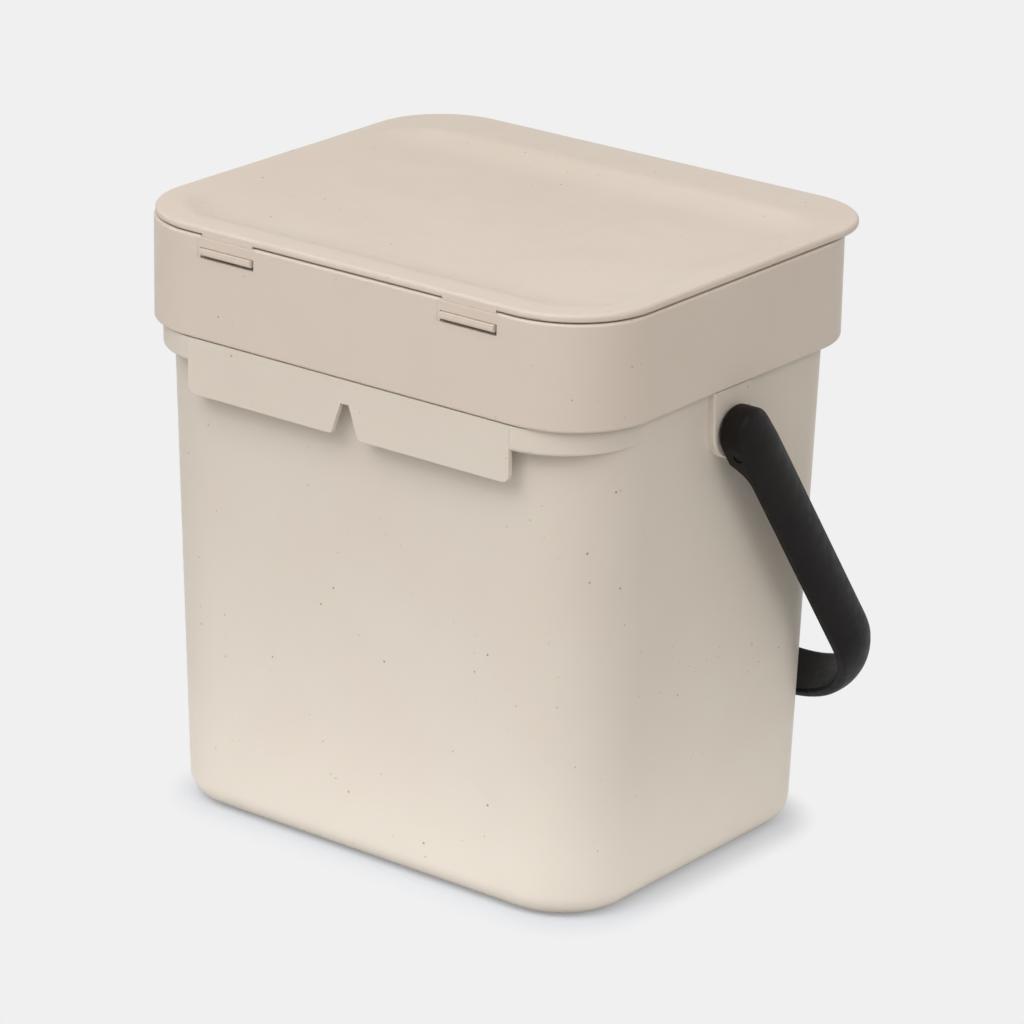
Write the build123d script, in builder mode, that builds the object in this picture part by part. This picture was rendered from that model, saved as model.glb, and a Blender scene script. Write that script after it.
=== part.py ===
"""A small kitchen waste bin.

A tapered bucket carries a collar that lifts off its rim, a lid that is hinged
to the rear of the collar, and a bail handle that swings on two studs.

Millimetres. X runs along the width, -Y is the front, where the lid overhangs
as a grip and the bail hangs, and +Y is the rear, with the hinges and the
hanger plate. The bin stands on Z = 0 with its base centred on the origin.
"""

import os
from math import asin, atan2, cos, degrees, hypot, radians, sin, tan

from build123d import *

os.makedirs("parts", exist_ok=True)

# Clearances
part_gap = 0.3
running_fit = 0.06
press_play = 0.02

# Bucket
base_width = 214.0
base_depth = 162.0
base_corner_radius = 31.0
base_rounding = 10.0
bucket_height = 235.0
bucket_draft = 1.7
bucket_wall = 2.0
rim_rounding = 0.6

# Collar
collar_side_room = 0.8
collar_end_room = 3.6
collar_wall = 2.2
collar_corner_radius = 36.0
collar_height = 42.3
window_sill = 0.8
collar_top_rounding = 1.0
collar_bottom_rounding = 1.2
ledge_thickness = 2.0
lip_depth = 10.0
lip_gap = 0.5
lip_wall = 1.6

# Skirt under the rear of the collar, and the hanger plate below it
skirt_drop = 9.9
skirt_wall = 2.2
skirt_fade = 0.3
skirt_rounding = 1.4
hanger_width = 159.4
hanger_drop = 12.9
hanger_inset = 0.2
hanger_corner_radius = 3.5
hanger_notch_height = 13.2
hanger_notch_top = 4.0
hanger_notch_bottom = 13.6
hanger_notch_rounding = 1.2

# Bosses that the bail turns on
pivot_drop = 17.4
pivot_setback = 1.2
boss_radius = 11.5
boss_flare = 0.8
boss_stand = 3.4
boss_rounding = 0.8
recess_radius = 8.5
recess_depth = 1.0

# Studs and washers
stud_radius = 4.0
stud_grip = 5.0
stud_head_radius = 8.0
stud_head_thickness = 2.0
stud_head_rounding = 0.8
washer_radius = 5.7

# Bail handle
head_standoff = 1.2
head_thickness = 13.3
head_length = 9.7
head_blend = 11.6
head_rounding = 2.5
head_lean = 2.4
head_lean_start = 15.0
strap_half_width = 10.5
strap_thickness = 7.4
strap_crown = 3.4
bail_reach = 170.4
bail_splay = 1.0
bail_corner_radius = 48.0
bail_outer_rounding = 1.9
bail_inner_rounding = 1.4
dimple_radius = 2.0
dimple_depth = 0.4
dimple_offset = 3.8
dimple_inset = 6.5

# Hinges
hinge_spacing = 119.0
pin_radius = 2.45
pin_play = 0.15
pin_drop = 2.55
pin_inset = 1.75
pin_embed = 1.2
hinge_window = 27.0
hinge_panel = 29.6
hinge_panel_recess = 0.15
window_room = 0.9
hook_side_play = 0.75
hook_wall = 1.8
bar_proud = 1.4
bar_height = 2.9
bar_rounding = 1.4
snap_opening = 4.3

# Lid
lid_gap = 0.5
lid_edge = 3.1
lid_inset = 0.4
lid_overhang = 8.6
lid_front_radius = 34.0
lid_top_rounding = 1.4
lid_bottom_rounding = 1.0
lid_skin = 2.2
dish_side_margin = 9.5
dish_rear_margin = 12.0
dish_front_margin = 26.0
dish_corner_radius = 27.0
dish_slope = 12.2
dish_depth = 4.2
dish_rim_rounding = 16.0
dish_floor_rounding = 50.0
rib_side_gap = 1.0
rib_end_gap = 4.0
rib_wall = 1.6
rib_depth = 6.0

# Reach of the lid's hook, measured from the hinge axis
pin_hole = pin_radius + pin_play
bar_outside = pin_inset + bar_proud
bar_bottom = snap_opening / 2 + bar_height
bar_sweep = hypot(bar_outside - bar_rounding, bar_bottom - bar_rounding) + bar_rounding

# Heights of the bucket, collar and lid
draft_slope = tan(radians(bucket_draft))
ledge_bottom = bucket_height + part_gap
ledge_top = ledge_bottom + ledge_thickness
window_bottom = ledge_top + window_sill
axis_height = window_bottom + window_room + bar_sweep
collar_top = axis_height + pin_drop
collar_bottom = collar_top - collar_height
shelf_top = collar_bottom - part_gap
skirt_bottom = collar_bottom - skirt_drop - part_gap
hanger_bottom = skirt_bottom - hanger_drop
lid_bottom = collar_top + lid_gap
lid_top = lid_bottom + lid_edge


def bucket_half_width(height):
    """Half the width over the bucket's drafted side walls at a height."""
    return base_width / 2 + draft_slope * height


def bucket_half_depth(height):
    """Half the depth over the bucket's drafted front and rear walls at a height."""
    return base_depth / 2 + draft_slope * height


def bucket_corner(height):
    """Radius of the bucket's vertical corners at a height."""
    return base_corner_radius + draft_slope * height


# Collar outline
collar_half_width = bucket_half_width(bucket_height) + collar_side_room + collar_wall
collar_half_depth = bucket_half_depth(bucket_height) + collar_end_room + collar_wall

# Outer body of the bucket, before it is hollowed
with BuildPart() as bucket_body:
    for height in (0, bucket_height):
        with BuildSketch(Plane.XY.offset(height)):
            RectangleRounded(
                2 * bucket_half_width(height),
                2 * bucket_half_depth(height),
                bucket_corner(height),
            )
    loft(ruled=True)
    fillet(bucket_body.faces().sort_by(Axis.Z)[0].edges(), base_rounding)

# Space inside the bucket
with BuildPart() as bucket_cavity:
    for height in (bucket_wall, bucket_height):
        with BuildSketch(Plane.XY.offset(height)):
            RectangleRounded(
                2 * (bucket_half_width(height) - bucket_wall),
                2 * (bucket_half_depth(height) - bucket_wall),
                bucket_corner(height) - bucket_wall,
            )
    loft(ruled=True)
    fillet(bucket_cavity.faces().sort_by(Axis.Z)[0].edges(), base_rounding - bucket_wall)

# Skirt: a thin shelf and wall that step out under the rear of the collar, and
# run round both rear corners until they fade into the side walls
skirt_half_width = bucket_half_width(skirt_bottom) - skirt_fade
skirt_rear = collar_half_depth - hanger_inset
with BuildPart() as skirt:
    with BuildSketch(Plane.XY.offset(skirt_bottom)):
        RectangleRounded(2 * skirt_half_width, 2 * skirt_rear, collar_corner_radius)
        Rectangle(
            2 * collar_half_width,
            2 * collar_half_depth,
            align=(Align.CENTER, Align.MAX),
            mode=Mode.SUBTRACT,
        )
    extrude(amount=shelf_top - skirt_bottom)
    skirt_lower_edges = (
        skirt.faces().sort_by(Axis.Z)[0].edges().filter_by(lambda edge: (edge @ 0.5).Y > part_gap)
    )
    fillet(skirt_lower_edges, skirt_rounding)
    with BuildSketch(Plane.XY.offset(skirt_bottom)):
        RectangleRounded(
            2 * (skirt_half_width - skirt_wall),
            2 * (skirt_rear - skirt_wall),
            collar_corner_radius - skirt_wall,
        )
    extrude(amount=shelf_top - skirt_bottom - skirt_wall, mode=Mode.SUBTRACT)

# Hanger plate: hangs from the skirt, clear of the wall, with a central notch
hanger_plane = Plane(origin=(0, skirt_rear, 0), x_dir=(-1, 0, 0), z_dir=(0, 1, 0))
with BuildPart() as hanger:
    with BuildSketch(hanger_plane):
        with Locations((0, hanger_bottom)):
            Rectangle(
                hanger_width,
                shelf_top - hanger_bottom,
                align=(Align.CENTER, Align.MIN),
            )
        with BuildLine():
            Polyline(
                (-hanger_notch_bottom / 2, hanger_bottom),
                (-hanger_notch_top / 2, hanger_bottom + hanger_notch_height),
                (hanger_notch_top / 2, hanger_bottom + hanger_notch_height),
                (hanger_notch_bottom / 2, hanger_bottom),
                close=True,
            )
        make_face(mode=Mode.SUBTRACT)
    extrude(amount=-skirt_wall)
    hanger_corners = hanger.edges().filter_by(Axis.Y).group_by(Axis.Z)[0]
    fillet(hanger_corners.sort_by(Axis.X)[1:3], hanger_notch_rounding)
    hanger_corners = hanger.edges().filter_by(Axis.Y).group_by(Axis.Z)[0]
    fillet([hanger_corners.sort_by(Axis.X)[0], hanger_corners.sort_by(Axis.X)[-1]], hanger_corner_radius)

# Places of the bail's two pivots
pivot_height = collar_bottom - pivot_drop
boss_face = bucket_half_width(pivot_height) + boss_stand
pivot_plane = Plane(
    origin=(0, pivot_setback, pivot_height),
    x_dir=(0, 1, 0),
    z_dir=(1, 0, 0),
)
boss_plane = pivot_plane.offset(boss_face)

# Boss: a U-shaped pad that runs up under the collar, with a round recess
with BuildPart() as boss:
    with BuildSketch(boss_plane):
        Circle(boss_radius)
        with BuildLine():
            Polyline(
                (-boss_radius, 0),
                (boss_radius, 0),
                (boss_radius + boss_flare, shelf_top - pivot_height),
                (-boss_radius - boss_flare, shelf_top - pivot_height),
                close=True,
            )
        make_face()
    extrude(amount=-boss_stand - bucket_wall)
    fillet(boss.faces().sort_by(Axis.X)[-1].edges().sort_by(Axis.Z)[:-1], boss_rounding)
    with BuildSketch(boss_plane):
        Circle(recess_radius)
    extrude(amount=-recess_depth, mode=Mode.SUBTRACT)

with BuildPart() as bucket:
    add(bucket_body.part)
    add(skirt.part)
    add(hanger.part)
    add(boss.part)
    add(mirror(boss.part, Plane.YZ, mode=Mode.PRIVATE))
    add(bucket_cavity.part, mode=Mode.SUBTRACT)
    with BuildSketch(pivot_plane):
        Circle(stud_radius + running_fit)
    extrude(amount=boss_face, both=True, mode=Mode.SUBTRACT)
    rim = bucket.faces().filter_by(Axis.Z).sort_by(Axis.Z)[-1]
    fillet(rim.edges(), rim_rounding)
bucket.part.label = "bucket"
export_step(bucket.part, "parts/bucket.step")

# Hinge axis: along X, just inside the collar's rear face and below its top
axis_depth = collar_half_depth - pin_inset
hook_width = hinge_window - 2 * hook_side_play
hinge_spots = (-hinge_spacing / 2, hinge_spacing / 2)

# Collar: an outer skirt, a ledge that rests over the bucket's rim and a lip
# that drops inside it, with a window for each hinge and a pin across it whose
# front is flat and lies in a shallow panel of the rear face
lip_bottom = ledge_bottom - lip_depth
mouth_half_width = bucket_half_width(lip_bottom) - bucket_wall - lip_gap - lip_wall
mouth_half_depth = bucket_half_depth(lip_bottom) - bucket_wall - lip_gap - lip_wall
mouth_radius = bucket_corner(lip_bottom) - bucket_wall - lip_gap - lip_wall
with BuildPart() as collar:
    with BuildSketch(Plane.XY.offset(collar_bottom)):
        RectangleRounded(2 * collar_half_width, 2 * collar_half_depth, collar_corner_radius)
    extrude(amount=collar_height)
    fillet(collar.faces().sort_by(Axis.Z)[-1].edges(), collar_top_rounding)
    fillet(collar.faces().sort_by(Axis.Z)[0].edges(), collar_bottom_rounding)
    for start, end in ((collar_bottom, ledge_bottom), (ledge_top, collar_top)):
        with BuildSketch(Plane.XY.offset(start)):
            RectangleRounded(
                2 * (collar_half_width - collar_wall),
                2 * (collar_half_depth - collar_wall),
                collar_corner_radius - collar_wall,
            )
        extrude(amount=end - start, mode=Mode.SUBTRACT)
    with BuildSketch(Plane.XY.offset(lip_bottom)):
        RectangleRounded(
            2 * (mouth_half_width + lip_wall),
            2 * (mouth_half_depth + lip_wall),
            mouth_radius + lip_wall,
        )
    extrude(amount=lip_depth)
    with BuildSketch(Plane.XY.offset(lip_bottom)):
        RectangleRounded(2 * mouth_half_width, 2 * mouth_half_depth, mouth_radius)
    extrude(amount=ledge_top - lip_bottom, mode=Mode.SUBTRACT)
    with BuildSketch(Plane.XY.offset(window_bottom)):
        with Locations([(x, collar_half_depth - collar_wall - part_gap) for x in hinge_spots]):
            Rectangle(hinge_window, 2 * collar_wall, align=(Align.CENTER, Align.MIN))
    extrude(amount=collar_top - window_bottom, mode=Mode.SUBTRACT)
    for x in hinge_spots:
        with BuildSketch(Plane.YZ.offset(x)):
            with Locations((axis_depth, axis_height)):
                Circle(pin_radius)
        extrude(amount=hinge_window / 2 + pin_embed, both=True)
    with BuildSketch(Plane.XY.offset(window_bottom)):
        with Locations([(x, collar_half_depth - hinge_panel_recess) for x in hinge_spots]):
            Rectangle(hinge_panel, pin_radius, align=(Align.CENTER, Align.MIN))
    extrude(amount=collar_top - window_bottom, mode=Mode.SUBTRACT)
collar.part.label = "collar"
export_step(collar.part, "parts/collar.step")

# Lid outline, and the middle of the dish in its top
lid_half_width = collar_half_width - lid_inset
lid_rear = collar_half_depth - lid_inset
lid_front = collar_half_depth + lid_overhang
dish_centre = (lid_rear - dish_rear_margin - lid_front + dish_front_margin) / 2
dish_half_depth = lid_rear - dish_rear_margin - dish_centre
dish_half_width = lid_half_width - dish_side_margin


def dish_outline(inset):
    """Draw the dish's outline, drawn in by an inset all round."""
    with BuildSketch(mode=Mode.PRIVATE) as outline:
        with Locations((0, dish_centre)):
            RectangleRounded(
                2 * (dish_half_width - inset),
                2 * (dish_half_depth - inset),
                dish_corner_radius - inset,
            )
    return outline.sketch


# Hook, drawn from the hinge axis: it wraps the pin from inside the collar and
# ends in a bar that shows below the pin
hook_back = pin_hole + hook_wall
tongue_face = pin_inset - lid_inset
tongue_top = lid_bottom + lid_bottom_rounding - axis_height


def lid_hook(x):
    """Make one hook, centred on a place along the hinge axis."""
    with BuildPart(mode=Mode.PRIVATE) as hook:
        with BuildSketch(Plane(origin=(x, axis_depth, axis_height), x_dir=(0, 1, 0), z_dir=(1, 0, 0))):
            with BuildLine():
                Polyline(
                    (-hook_back, -bar_bottom),
                    (bar_outside, -bar_bottom),
                    (bar_outside, -snap_opening / 2),
                    (0, -snap_opening / 2),
                    (0, snap_opening / 2),
                    (tongue_face, snap_opening / 2),
                    (tongue_face, tongue_top),
                    (-hook_back, tongue_top),
                    close=True,
                )
            profile = make_face()
            fillet(profile.vertices().group_by(Axis.Y)[0], bar_rounding)
            fillet(profile.vertices().group_by(Axis.Y)[1], bar_rounding)
            Circle(pin_hole, mode=Mode.SUBTRACT)
        extrude(amount=hook_width / 2, both=True)
    return hook.part


# Locating rib under the lid, clear of the collar's wall
rib_half_width = collar_half_width - collar_wall - rib_side_gap
rib_half_depth = collar_half_depth - collar_wall - rib_end_gap
rib_radius = collar_corner_radius - collar_wall - rib_end_gap

# Dish: the space that is sunk into the lid's top
with BuildPart() as dish:
    with BuildSketch(Plane.XY.offset(lid_top)):
        add(dish_outline(0))
    with BuildSketch(Plane.XY.offset(lid_top - dish_depth)):
        add(dish_outline(dish_slope))
    loft(ruled=True)
    fillet(dish.faces().sort_by(Axis.Z)[0].edges(), dish_floor_rounding)

# Lid: a rounded plate with a shallow dish in its top and a pan beneath it,
# a locating rib and a hook round each of the collar's hinge pins
with BuildPart() as lid:
    with BuildSketch(Plane.XY.offset(lid_bottom)) as plate:
        with Locations((0, (lid_rear - lid_front) / 2)):
            Rectangle(2 * lid_half_width, lid_rear + lid_front)
        fillet(plate.vertices().group_by(Axis.Y)[-1], collar_corner_radius)
        fillet(plate.vertices().group_by(Axis.Y)[0], lid_front_radius)
    extrude(amount=lid_edge)
    fillet(lid.faces().sort_by(Axis.Z)[-1].edges(), lid_top_rounding)
    fillet(lid.faces().sort_by(Axis.Z)[0].edges(), lid_bottom_rounding)
    with BuildSketch(Plane.XY.offset(lid_bottom)):
        add(dish_outline(dish_slope * (lid_edge - lid_skin) / dish_depth))
    with BuildSketch(Plane.XY.offset(lid_top - dish_depth - lid_skin)):
        add(dish_outline(dish_slope))
    loft(ruled=True)
    add(dish.part, mode=Mode.SUBTRACT)
    fillet(lid.faces().sort_by(Axis.Z)[-1].inner_wires()[0].edges(), dish_rim_rounding)
    with BuildSketch(Plane.XY.offset(lid_bottom - rib_depth)):
        RectangleRounded(2 * rib_half_width, 2 * rib_half_depth, rib_radius)
        RectangleRounded(
            2 * (rib_half_width - rib_wall),
            2 * (rib_half_depth - rib_wall),
            rib_radius - rib_wall,
            mode=Mode.SUBTRACT,
        )
    extrude(amount=rib_depth)
    for x in hinge_spots:
        add(lid_hook(x))
lid.part.label = "lid"
export_step(lid.part, "parts/lid.step")

# Bail handle at rest: the angle of its legs from the vertical, with the
# rounded inner edge of its crosspiece just clear of the bucket's front wall
head_face = boss_face + head_standoff
edge_reach = bail_reach - strap_thickness + bail_inner_rounding
edge_width = strap_half_width - bail_inner_rounding
swing_sine = edge_reach + draft_slope * edge_width
swing_cosine = draft_slope * edge_reach - edge_width
wall_distance = (
    pivot_setback
    + bucket_half_depth(pivot_height)
    + (bail_inner_rounding + part_gap) / cos(radians(bucket_draft))
)
rest_angle = asin(wall_distance / hypot(swing_sine, swing_cosine)) - atan2(swing_cosine, swing_sine)
bail_plane = Plane(
    origin=(0, pivot_setback, pivot_height),
    x_dir=(1, 0, 0),
    z_dir=(0, -cos(rest_angle), sin(rest_angle)),
)
leg_plane = Plane(
    origin=(0, pivot_setback, pivot_height),
    x_dir=(0, -sin(rest_angle), -cos(rest_angle)),
    z_dir=(1, 0, 0),
)
flank_plane = Plane(
    origin=(0, pivot_setback, pivot_height),
    x_dir=(1, 0, 0),
    z_dir=(0, cos(rest_angle), -sin(rest_angle)),
)
cross_plane = Plane(
    origin=bail_plane.from_local_coords((0, -bail_reach, 0)),
    x_dir=bail_plane.z_dir,
    z_dir=(1, 0, 0),
)

# Line of the crown of the strap: half the crosspiece, a corner, a leg that
# leans in towards the pivot, and a bend inwards beside the head
splay = radians(bail_splay)
crown_radius = (strap_half_width**2 + strap_crown**2) / (2 * strap_crown)
leg_top = head_face + head_thickness
corner_place = (
    leg_top
    + tan(splay) * (bail_reach - bail_corner_radius)
    - bail_corner_radius / cos(splay)
)
leg_length = (bail_reach - bail_corner_radius - head_lean_start) / cos(splay) - (
    bail_corner_radius * tan(splay)
)
lean_length = head_lean_start + strap_half_width
lean_radius = (lean_length**2 + head_lean**2) / (2 * head_lean)
lean_angle = degrees(asin((lean_length + strap_crown) / lean_radius))
strap_inside = leg_top - strap_thickness + tan(splay) * (head_length + head_blend)
with BuildLine(bail_plane) as crown_line:
    crosspiece = Line((0, -bail_reach), (corner_place, -bail_reach))
    corner = JernArc(crosspiece @ 1, crosspiece % 1, bail_corner_radius, 90 + bail_splay)
    leg = Line(corner @ 1, corner @ 1 + (corner % 1) * leg_length)
    JernArc(leg @ 1, leg % 1, lean_radius, lean_angle)


def on_inner_face(edge):
    """Tell whether an edge is deeper in the bail than the edges of its crown."""
    place = bail_plane.to_local_coords(edge @ 0.5)
    across = max(place.X - corner_place, 0)
    along = max(-place.Y - bail_reach + bail_corner_radius, 0)
    return bail_corner_radius - hypot(across, along) > strap_thickness - part_gap


def on_bail_side(edge):
    """Tell whether an edge runs along a side of the bail or round its head."""
    place = bail_plane.to_local_coords(edge @ 0.5)
    lengthwise = place.X > part_gap and abs(place.Y) > part_gap
    return lengthwise and hypot(place.Z, max(place.Y, 0)) > strap_half_width - part_gap


# Bail: a crowned strap bent to a U, thickened inwards at the heads, trimmed to
# its width and rounded about the pivot
with BuildPart() as handle:
    with BuildSketch(cross_plane):
        Rectangle(
            2 * (strap_half_width + part_gap),
            strap_thickness,
            align=(Align.CENTER, Align.MAX),
        )
        with Locations((0, -crown_radius)):
            Circle(crown_radius, mode=Mode.INTERSECT)
    sweep(path=crown_line.wires()[0])
    with BuildSketch(bail_plane):
        with BuildLine():
            Polyline(
                (head_face, -head_length),
                (head_face, 2 * strap_half_width),
                (strap_inside + part_gap, 2 * strap_half_width),
                (strap_inside + part_gap, -head_length - head_blend),
                (strap_inside, -head_length - head_blend),
            )
            TangentArc(
                (strap_inside, -head_length - head_blend),
                (head_face, -head_length),
                tangent=(-sin(splay), cos(splay)),
            )
        head = make_face()
        fillet(head.vertices().group_by(Axis.X)[0].sort_by(Axis.Y)[0], head_rounding)
    extrude(amount=strap_half_width + part_gap, both=True)
    with BuildSketch(leg_plane):
        Circle(strap_half_width)
        Rectangle(
            bail_reach + strap_half_width,
            2 * strap_half_width,
            align=(Align.MIN, Align.CENTER),
        )
    extrude(amount=2 * leg_top, mode=Mode.INTERSECT)
    side_edges = handle.edges().filter_by(on_bail_side)
    fillet(side_edges.filter_by(on_inner_face), bail_inner_rounding)
    side_edges = handle.edges().filter_by(on_bail_side)
    fillet(side_edges.filter_by(on_inner_face, reverse=True), bail_outer_rounding)
    mirror(about=Plane.YZ)
    with BuildSketch(flank_plane.offset(strap_half_width)):
        for side in (-1, 1):
            with Locations((side * (head_face + dimple_inset), dimple_offset)):
                Circle(dimple_radius)
    extrude(amount=-dimple_depth, mode=Mode.SUBTRACT)
    for side in (-1, 1):
        with BuildSketch(pivot_plane.offset(side * head_face)):
            Circle(stud_radius + press_play)
        extrude(amount=side * stud_grip, mode=Mode.SUBTRACT)
handle.part.label = "handle"
export_step(handle.part, "parts/handle.step")

# Studs: each runs from a head inside the bucket, through the boss and the
# washer, into the bail
stud_seat = bucket_half_width(pivot_height - stud_head_radius) - bucket_wall - part_gap
with BuildPart() as pivot_stud_right:
    with BuildSketch(pivot_plane.offset(stud_seat)):
        Circle(stud_head_radius)
    extrude(amount=-stud_head_thickness)
    fillet(pivot_stud_right.faces().sort_by(Axis.X)[0].edges(), stud_head_rounding)
    with BuildSketch(pivot_plane.offset(stud_seat)):
        Circle(stud_radius)
    extrude(amount=head_face + stud_grip - part_gap - stud_seat)
pivot_stud_right.part.label = "pivot_stud_right"
export_step(pivot_stud_right.part, "parts/pivot_stud_right.step")

with BuildPart() as pivot_stud_left:
    add(mirror(pivot_stud_right.part, Plane.YZ, mode=Mode.PRIVATE))
pivot_stud_left.part.label = "pivot_stud_left"
export_step(pivot_stud_left.part, "parts/pivot_stud_left.step")

# Washers: each fills the gap between the recess in a boss and the bail's head
with BuildPart() as pivot_washer_right:
    with BuildSketch(boss_plane.offset(press_play - recess_depth)):
        Circle(washer_radius)
        Circle(stud_radius + running_fit, mode=Mode.SUBTRACT)
    extrude(amount=head_standoff + recess_depth - press_play - part_gap)
pivot_washer_right.part.label = "pivot_washer_right"
export_step(pivot_washer_right.part, "parts/pivot_washer_right.step")

with BuildPart() as pivot_washer_left:
    add(mirror(pivot_washer_right.part, Plane.YZ, mode=Mode.PRIVATE))
pivot_washer_left.part.label = "pivot_washer_left"
export_step(pivot_washer_left.part, "parts/pivot_washer_left.step")
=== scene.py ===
"""Looks for the waste bin: moulded speckled plastics, a black bail, a pale studio."""

from math import radians

import bpy
from mathutils import Matrix, Vector

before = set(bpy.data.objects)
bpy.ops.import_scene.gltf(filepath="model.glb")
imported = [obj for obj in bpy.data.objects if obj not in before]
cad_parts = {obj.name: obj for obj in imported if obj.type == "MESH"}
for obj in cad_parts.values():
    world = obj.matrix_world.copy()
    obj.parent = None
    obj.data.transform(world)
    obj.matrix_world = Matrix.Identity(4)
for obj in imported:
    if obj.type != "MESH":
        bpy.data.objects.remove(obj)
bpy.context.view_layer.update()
scene = bpy.context.scene


def linear(red, green, blue):
    """Turn a display colour, 0 to 255, into the linear colour that shaders take."""
    shares = [value / 255 for value in (red, green, blue)]
    return [s / 12.92 if s <= 0.04045 else ((s + 0.055) / 1.055) ** 2.4 for s in shares] + [1]


class Nodes:
    """The node tree of a material or a world, with short calls to add nodes and join them."""

    def __init__(self, owner):
        owner.use_nodes = True
        self.tree = owner.node_tree
        self.tree.nodes.clear()

    def add(self, kind, **settings):
        """Add a node and set its properties."""
        node = self.tree.nodes.new(kind)
        for key, value in settings.items():
            setattr(node, key, value)
        return node

    def join(self, output, socket):
        """Link an output to a socket."""
        self.tree.links.new(output, socket)

    def show(self, surface, kind):
        """Join a shader to the surface of a new output node."""
        self.join(surface, self.add(kind).inputs["Surface"])

    def place(self):
        """The place on the object, in metres."""
        return self.add("ShaderNodeTexCoord").outputs["Object"]

    def noise(self, place, size, detail):
        """Noise whose blobs are about a given size, in metres."""
        node = self.add("ShaderNodeTexNoise")
        node.inputs["Scale"].default_value = 1 / size
        node.inputs["Detail"].default_value = detail
        self.join(place, node.inputs["Vector"])
        return node.outputs["Fac"]

    def spread(self, value, low, high, to_low, to_high, smooth=True):
        """Map a value between two limits to a new range."""
        node = self.add("ShaderNodeMapRange")
        node.interpolation_type = "SMOOTHSTEP" if smooth else "LINEAR"
        for key, number in (
            ("From Min", low),
            ("From Max", high),
            ("To Min", to_low),
            ("To Max", to_high),
        ):
            node.inputs[key].default_value = number
        self.join(value, node.inputs["Value"])
        return node.outputs["Result"]

    def combine(self, operation, first, second):
        """Work out one number from two."""
        node = self.add("ShaderNodeMath", operation=operation)
        self.join(first, node.inputs[0])
        self.join(second, node.inputs[1])
        return node.outputs[0]

    def blend(self, share, first, second):
        """Mix two colours; each is a colour or a socket."""
        node = self.add("ShaderNodeMix", data_type="RGBA")
        self.join(share, node.inputs["Factor"])
        for given, socket in ((first, node.inputs[6]), (second, node.inputs[7])):
            if isinstance(given, list):
                socket.default_value = given
            else:
                self.join(given, socket)
        return node.outputs[2]

    def bump(self, height, depth, distance, below=None):
        """Raise and sink the surface by a height pattern, on top of the bump below it."""
        node = self.add("ShaderNodeBump")
        node.inputs["Strength"].default_value = depth
        node.inputs["Distance"].default_value = distance
        self.join(height, node.inputs["Height"])
        if below is not None:
            self.join(below, node.inputs["Normal"])
        return node.outputs["Normal"]

    def shader(self, kind, colour):
        """Add a shader of one colour and return it."""
        node = self.add(kind)
        node.inputs["Color"].default_value = colour
        return node

    def mix(self, share, first, second):
        """Go from the first shader to the second by a share."""
        node = self.add("ShaderNodeMixShader")
        for given, socket in zip((share, first, second), node.inputs):
            self.join(given, socket)
        return node.outputs[0]


# Flecks of the pale plastic: how far apart they lie and their radius, in metres, and the share of
# places that has one
fleck_sizes = ((0.0064, 0.00056, 0.26), (0.0052, 0.00034, 0.28))
fleck_core = 0.7
fleck_edge = 1.1


def flecks(nodes, place, spacing, radius, share):
    """Sparse dark flecks: 1 inside a fleck and 0 outside, each with its own depth of colour."""
    cells = nodes.add("ShaderNodeTexVoronoi", feature="F1")
    cells.inputs["Scale"].default_value = 1 / spacing
    nodes.join(place, cells.inputs["Vector"])
    edge = radius / spacing
    inside = nodes.spread(cells.outputs["Distance"], fleck_core * edge, fleck_edge * edge, 1.0, 0.0)
    parts = nodes.add("ShaderNodeSeparateColor")
    nodes.join(cells.outputs["Color"], parts.inputs["Color"])
    chosen = nodes.spread(parts.outputs["Red"], 1 - share, 1.0, 0.0, 1.0, smooth=False)
    return nodes.combine("MULTIPLY", inside, chosen)


# Textures of the two plastics. Clouds and gloss patches: size in metres and detail. Uneven: how far
# the roughness goes down and up. Waves and grain: size in metres and strength.
pale_texture = {
    "clouds": (0.05, 3.0),
    "gloss": (0.012, 4.0),
    "uneven": (0.04, 0.05),
    "waves": (0.03, 0.10),
    "grain": (0.00035, 0.10),
}
black_texture = {
    "clouds": (0.03, 4.0),
    "gloss": (0.004, 5.0),
    "uneven": (0.05, 0.06),
    "waves": (0.025, 0.12),
    "grain": (0.0003, 0.16),
}
wave_height = 0.0006
wave_detail = 1.0
grain_height = 0.00006
grain_detail = 2.0


def plastic(name, colour, shade, roughness, sheen, texture, fleck=None):
    """Moulded plastic of two close tints, with an uneven gloss, a fine grain and perhaps flecks."""
    material = bpy.data.materials.new(name)
    nodes = Nodes(material)
    place = nodes.place()
    clouds = nodes.spread(nodes.noise(place, *texture["clouds"]), 0.3, 0.7, 0.0, 1.0)
    tint = nodes.blend(clouds, linear(*colour), linear(*shade))
    if fleck is not None:
        for spacing, radius, share in fleck_sizes:
            tint = nodes.blend(flecks(nodes, place, spacing, radius, share), tint, linear(*fleck))
    patches = nodes.noise(place, *texture["gloss"])
    smoother, rougher = texture["uneven"]
    gloss = nodes.spread(patches, 0.25, 0.75, roughness - smoother, roughness + rougher)
    wave_size, wave_depth = texture["waves"]
    waves = nodes.bump(nodes.noise(place, wave_size, wave_detail), wave_depth, wave_height)
    grain_size, grain_depth = texture["grain"]
    grain = nodes.bump(nodes.noise(place, grain_size, grain_detail), grain_depth, grain_height, waves)
    shader = nodes.add("ShaderNodeBsdfPrincipled")
    for value, socket in ((tint, "Base Color"), (gloss, "Roughness"), (grain, "Normal")):
        nodes.join(value, shader.inputs[socket])
    shader.inputs["Specular IOR Level"].default_value = sheen
    nodes.show(shader.outputs["BSDF"], "ShaderNodeOutputMaterial")
    return material


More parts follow.
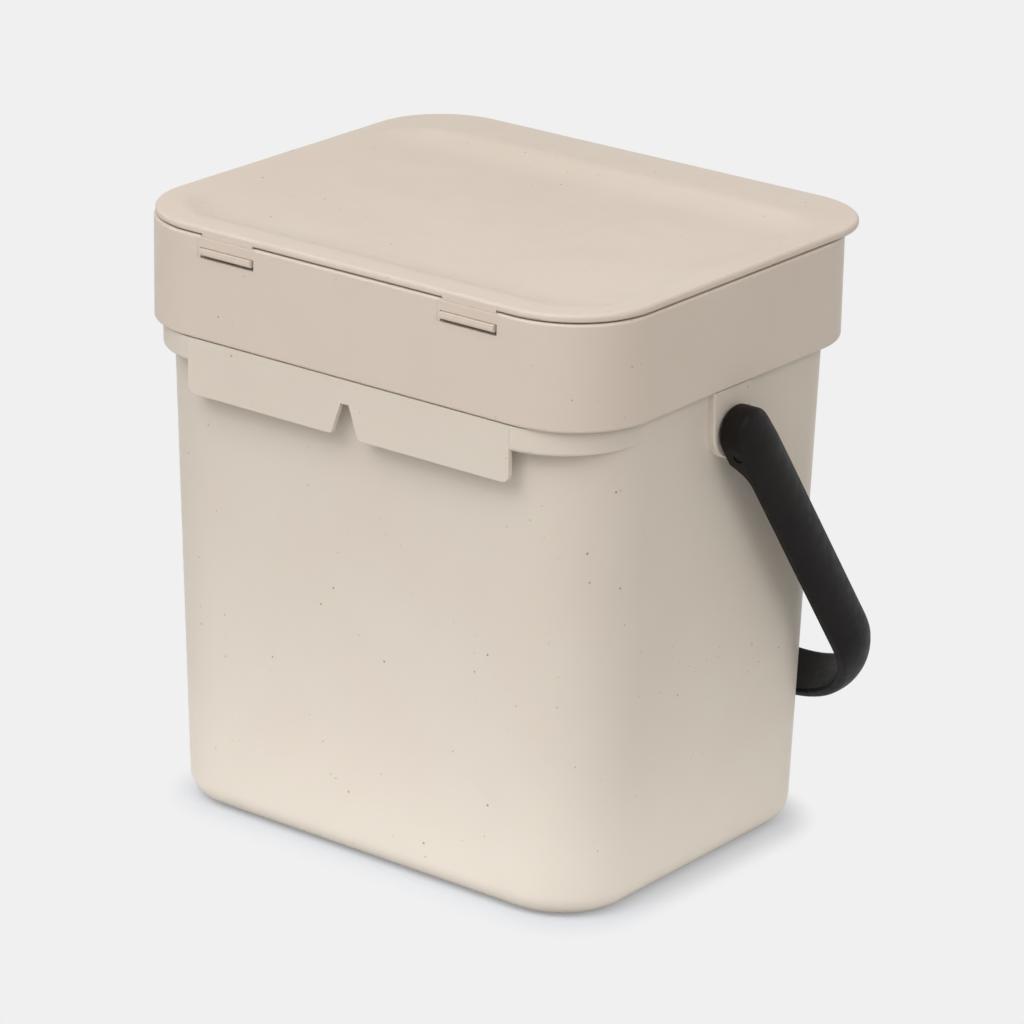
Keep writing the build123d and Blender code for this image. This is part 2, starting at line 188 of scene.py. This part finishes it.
bucket_plastic = plastic(
    "bucket_plastic", (219, 210, 199), (217, 207, 196), 0.46, 0.32, pale_texture, (158, 142, 126)
)
collar_plastic = plastic(
    "collar_plastic", (216, 204, 193), (214, 201, 190), 0.42, 0.32, pale_texture, (156, 136, 120)
)
lid_plastic = plastic(
    "lid_plastic", (217, 205, 194), (215, 202, 191), 0.42, 0.32, pale_texture, (156, 136, 120)
)
black_plastic = plastic("black_plastic", (25, 22, 21), (21, 18, 18), 0.48, 0.12, black_texture)
pivot_plastic = plastic("pivot_plastic", (24, 22, 22), (21, 20, 20), 0.42, 0.2, black_texture)

finishes = {
    "bucket": bucket_plastic,
    "collar": collar_plastic,
    "lid": lid_plastic,
    "handle": black_plastic,
    "pivot_stud_left": pivot_plastic,
    "pivot_stud_right": pivot_plastic,
    "pivot_washer_left": pivot_plastic,
    "pivot_washer_right": pivot_plastic,
}
for name, finish in finishes.items():
    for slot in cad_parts[name].material_slots:
        slot.material = finish

# Camera: the photograph's viewing angle in degrees, a long lens about two metres away
view_azimuth = 217.99
view_elevation = 20.17
view_roll = 1.06
view_distance = 2.00297
view_centre = Vector((0, 0, 0.13))
camera_data = bpy.data.cameras.new("camera")
camera_data.sensor_width = 36.0
camera_data.lens = 176.18
camera_data.shift_x = 0.01791
camera_data.shift_y = -0.01183
camera_data.clip_start = 0.05
camera_data.clip_end = 50.0
camera = bpy.data.objects.new("camera", camera_data)
scene.collection.objects.link(camera)
turn = Matrix.Rotation(radians(view_azimuth), 4, "Z")
tilt = Matrix.Rotation(radians(90 - view_elevation), 4, "X")
roll = Matrix.Rotation(radians(view_roll), 4, "Z")
back = Matrix.Translation((0, 0, view_distance))
camera.matrix_world = Matrix.Translation(view_centre) @ turn @ tilt @ roll @ back
scene.camera = camera

# Floor and world: both show as the same pale grey, and the floor keeps a shadow beside the base
pale = linear(240, 240, 240)
floor_reach = 8.0
floor_corners = [(x * floor_reach, y * floor_reach, 0) for x, y in ((-1, -1), (1, -1), (1, 1), (-1, 1))]
floor_mesh = bpy.data.meshes.new("floor")
floor_mesh.from_pydata(floor_corners, [], [(0, 1, 2, 3)])
floor = bpy.data.objects.new("floor", floor_mesh)
scene.collection.objects.link(floor)

# Footprint that the shadow follows, in metres: its middle, its half sizes up to where the corners
# start, and the radius of its corners
footprint_middle = (-0.004, 0.004, 0.0)
footprint_straight = (0.076, 0.050, 0.0)
footprint_corner = 0.031


def directly_seen(nodes):
    """1 for a ray from the camera or a reflection or through glass, and 0 for scattered light."""
    path = nodes.add("ShaderNodeLightPath")
    seen = path.outputs["Is Camera Ray"]
    for kind in ("Is Glossy Ray", "Is Transmission Ray"):
        seen = nodes.combine("MAXIMUM", seen, path.outputs[kind])
    return seen


def falloff(nodes, centre, near, far, at_near, at_far):
    """A value that changes smoothly with the distance from a point on the floor."""
    away = nodes.add("ShaderNodeVectorMath", operation="DISTANCE")
    away.inputs[1].default_value = centre
    nodes.join(nodes.place(), away.inputs[0])
    return nodes.spread(away.outputs["Value"], near, far, at_near, at_far)


def beside_base(nodes, near, far, at_near, at_far):
    """A value that changes smoothly with the distance outwards from the bin's footprint."""
    place = nodes.place()
    for operation, amount in (
        ("SUBTRACT", footprint_middle),
        ("ABSOLUTE", (0.0, 0.0, 0.0)),
        ("SUBTRACT", footprint_straight),
        ("MAXIMUM", (0.0, 0.0, 0.0)),
    ):
        step = nodes.add("ShaderNodeVectorMath", operation=operation)
        nodes.join(place, step.inputs[0])
        step.inputs[1].default_value = amount
        place = step.outputs[0]
    away = nodes.add("ShaderNodeVectorMath", operation="LENGTH")
    nodes.join(place, away.inputs[0])
    near, far = footprint_corner + near, footprint_corner + far
    return nodes.spread(away.outputs["Value"], near, far, at_near, at_far)


# What the camera sees of the floor: lit and shadowed at the base, and plain grey further out
floor_material = bpy.data.materials.new("floor")
studio = Nodes(floor_material)
matte = studio.shader("ShaderNodeBsdfDiffuse", linear(222, 228, 238))
flat = studio.shader("ShaderNodeEmission", pale)
shown = studio.mix(beside_base(studio, -0.004, 0.013, 0.3, 1.0), matte.outputs[0], flat.outputs[0])

# What the floor sends back to the bin: scattered lamp light and two glows, each given by its
# centre, its near and far distance in metres and its strength
glows = (((0, 0, 0), 0.05, 0.4, 0.8), ((-0.05, 0.15, 0), 0.0, 0.35, 0.3))
glow_colour = (0.94, 0.98, 1.0, 1.0)
lit = studio.shader("ShaderNodeBsdfDiffuse", (0.5, 0.5, 0.5, 1)).outputs[0]
for centre, near, far, power in glows:
    glow = studio.shader("ShaderNodeEmission", glow_colour)
    clear_of_base = beside_base(studio, -0.008, 0.010, 0.0, 1.0)
    strength = falloff(studio, centre, near, far, power, 0.0)
    studio.join(studio.combine("MULTIPLY", strength, clear_of_base), glow.inputs["Strength"])
    added = studio.add("ShaderNodeAddShader")
    studio.join(lit, added.inputs[0])
    studio.join(glow.outputs[0], added.inputs[1])
    lit = added.outputs[0]
studio.show(studio.mix(directly_seen(studio), lit, shown), "ShaderNodeOutputMaterial")
floor_mesh.materials.append(floor_material)

# World: the same grey where it is seen, and a soft warm light all round
world = bpy.data.worlds.new("studio")
scene.world = world
sky = Nodes(world)
backdrop = sky.shader("ShaderNodeBackground", pale)
soft = sky.shader("ShaderNodeBackground", (1.0, 0.94, 0.84, 1.0))
soft.inputs["Strength"].default_value = 0.463
sky.show(sky.mix(directly_seen(sky), soft.outputs[0], backdrop.outputs[0]), "ShaderNodeOutputWorld")


def softbox(name, place, aim, size, power, shines=True):
    """A square area lamp turned to face a point; shines says whether reflections show it."""
    lamp = bpy.data.lights.new(name, "AREA")
    lamp.shape = "SQUARE"
    lamp.size = size
    lamp.energy = power
    item = bpy.data.objects.new(name, lamp)
    item.location = place
    item.visible_glossy = shines
    item.rotation_euler = (Vector(aim) - Vector(place)).to_track_quat("-Z", "Y").to_euler()
    scene.collection.objects.link(item)


softbox("rear", (0.5, 1.2, 1.7), (0, 0, 0.1), 1.2, 12.1)
softbox("high", (-0.35, 0.75, 1.35), (0, 0, 0.1), 0.7, 3.67)
softbox("low", (0.15, 0.95, 0.85), (0, 0, 0.1), 0.5, 1.48)
softbox("side", (-1.0, 0.35, 0.9), (0, 0, 0.1), 0.5, 3.06)
softbox("front", (0.3, -1.5, 0.125), (0, 0, 0.125), 0.2, 5.0, shines=False)

scene.view_settings.view_transform = "Standard"
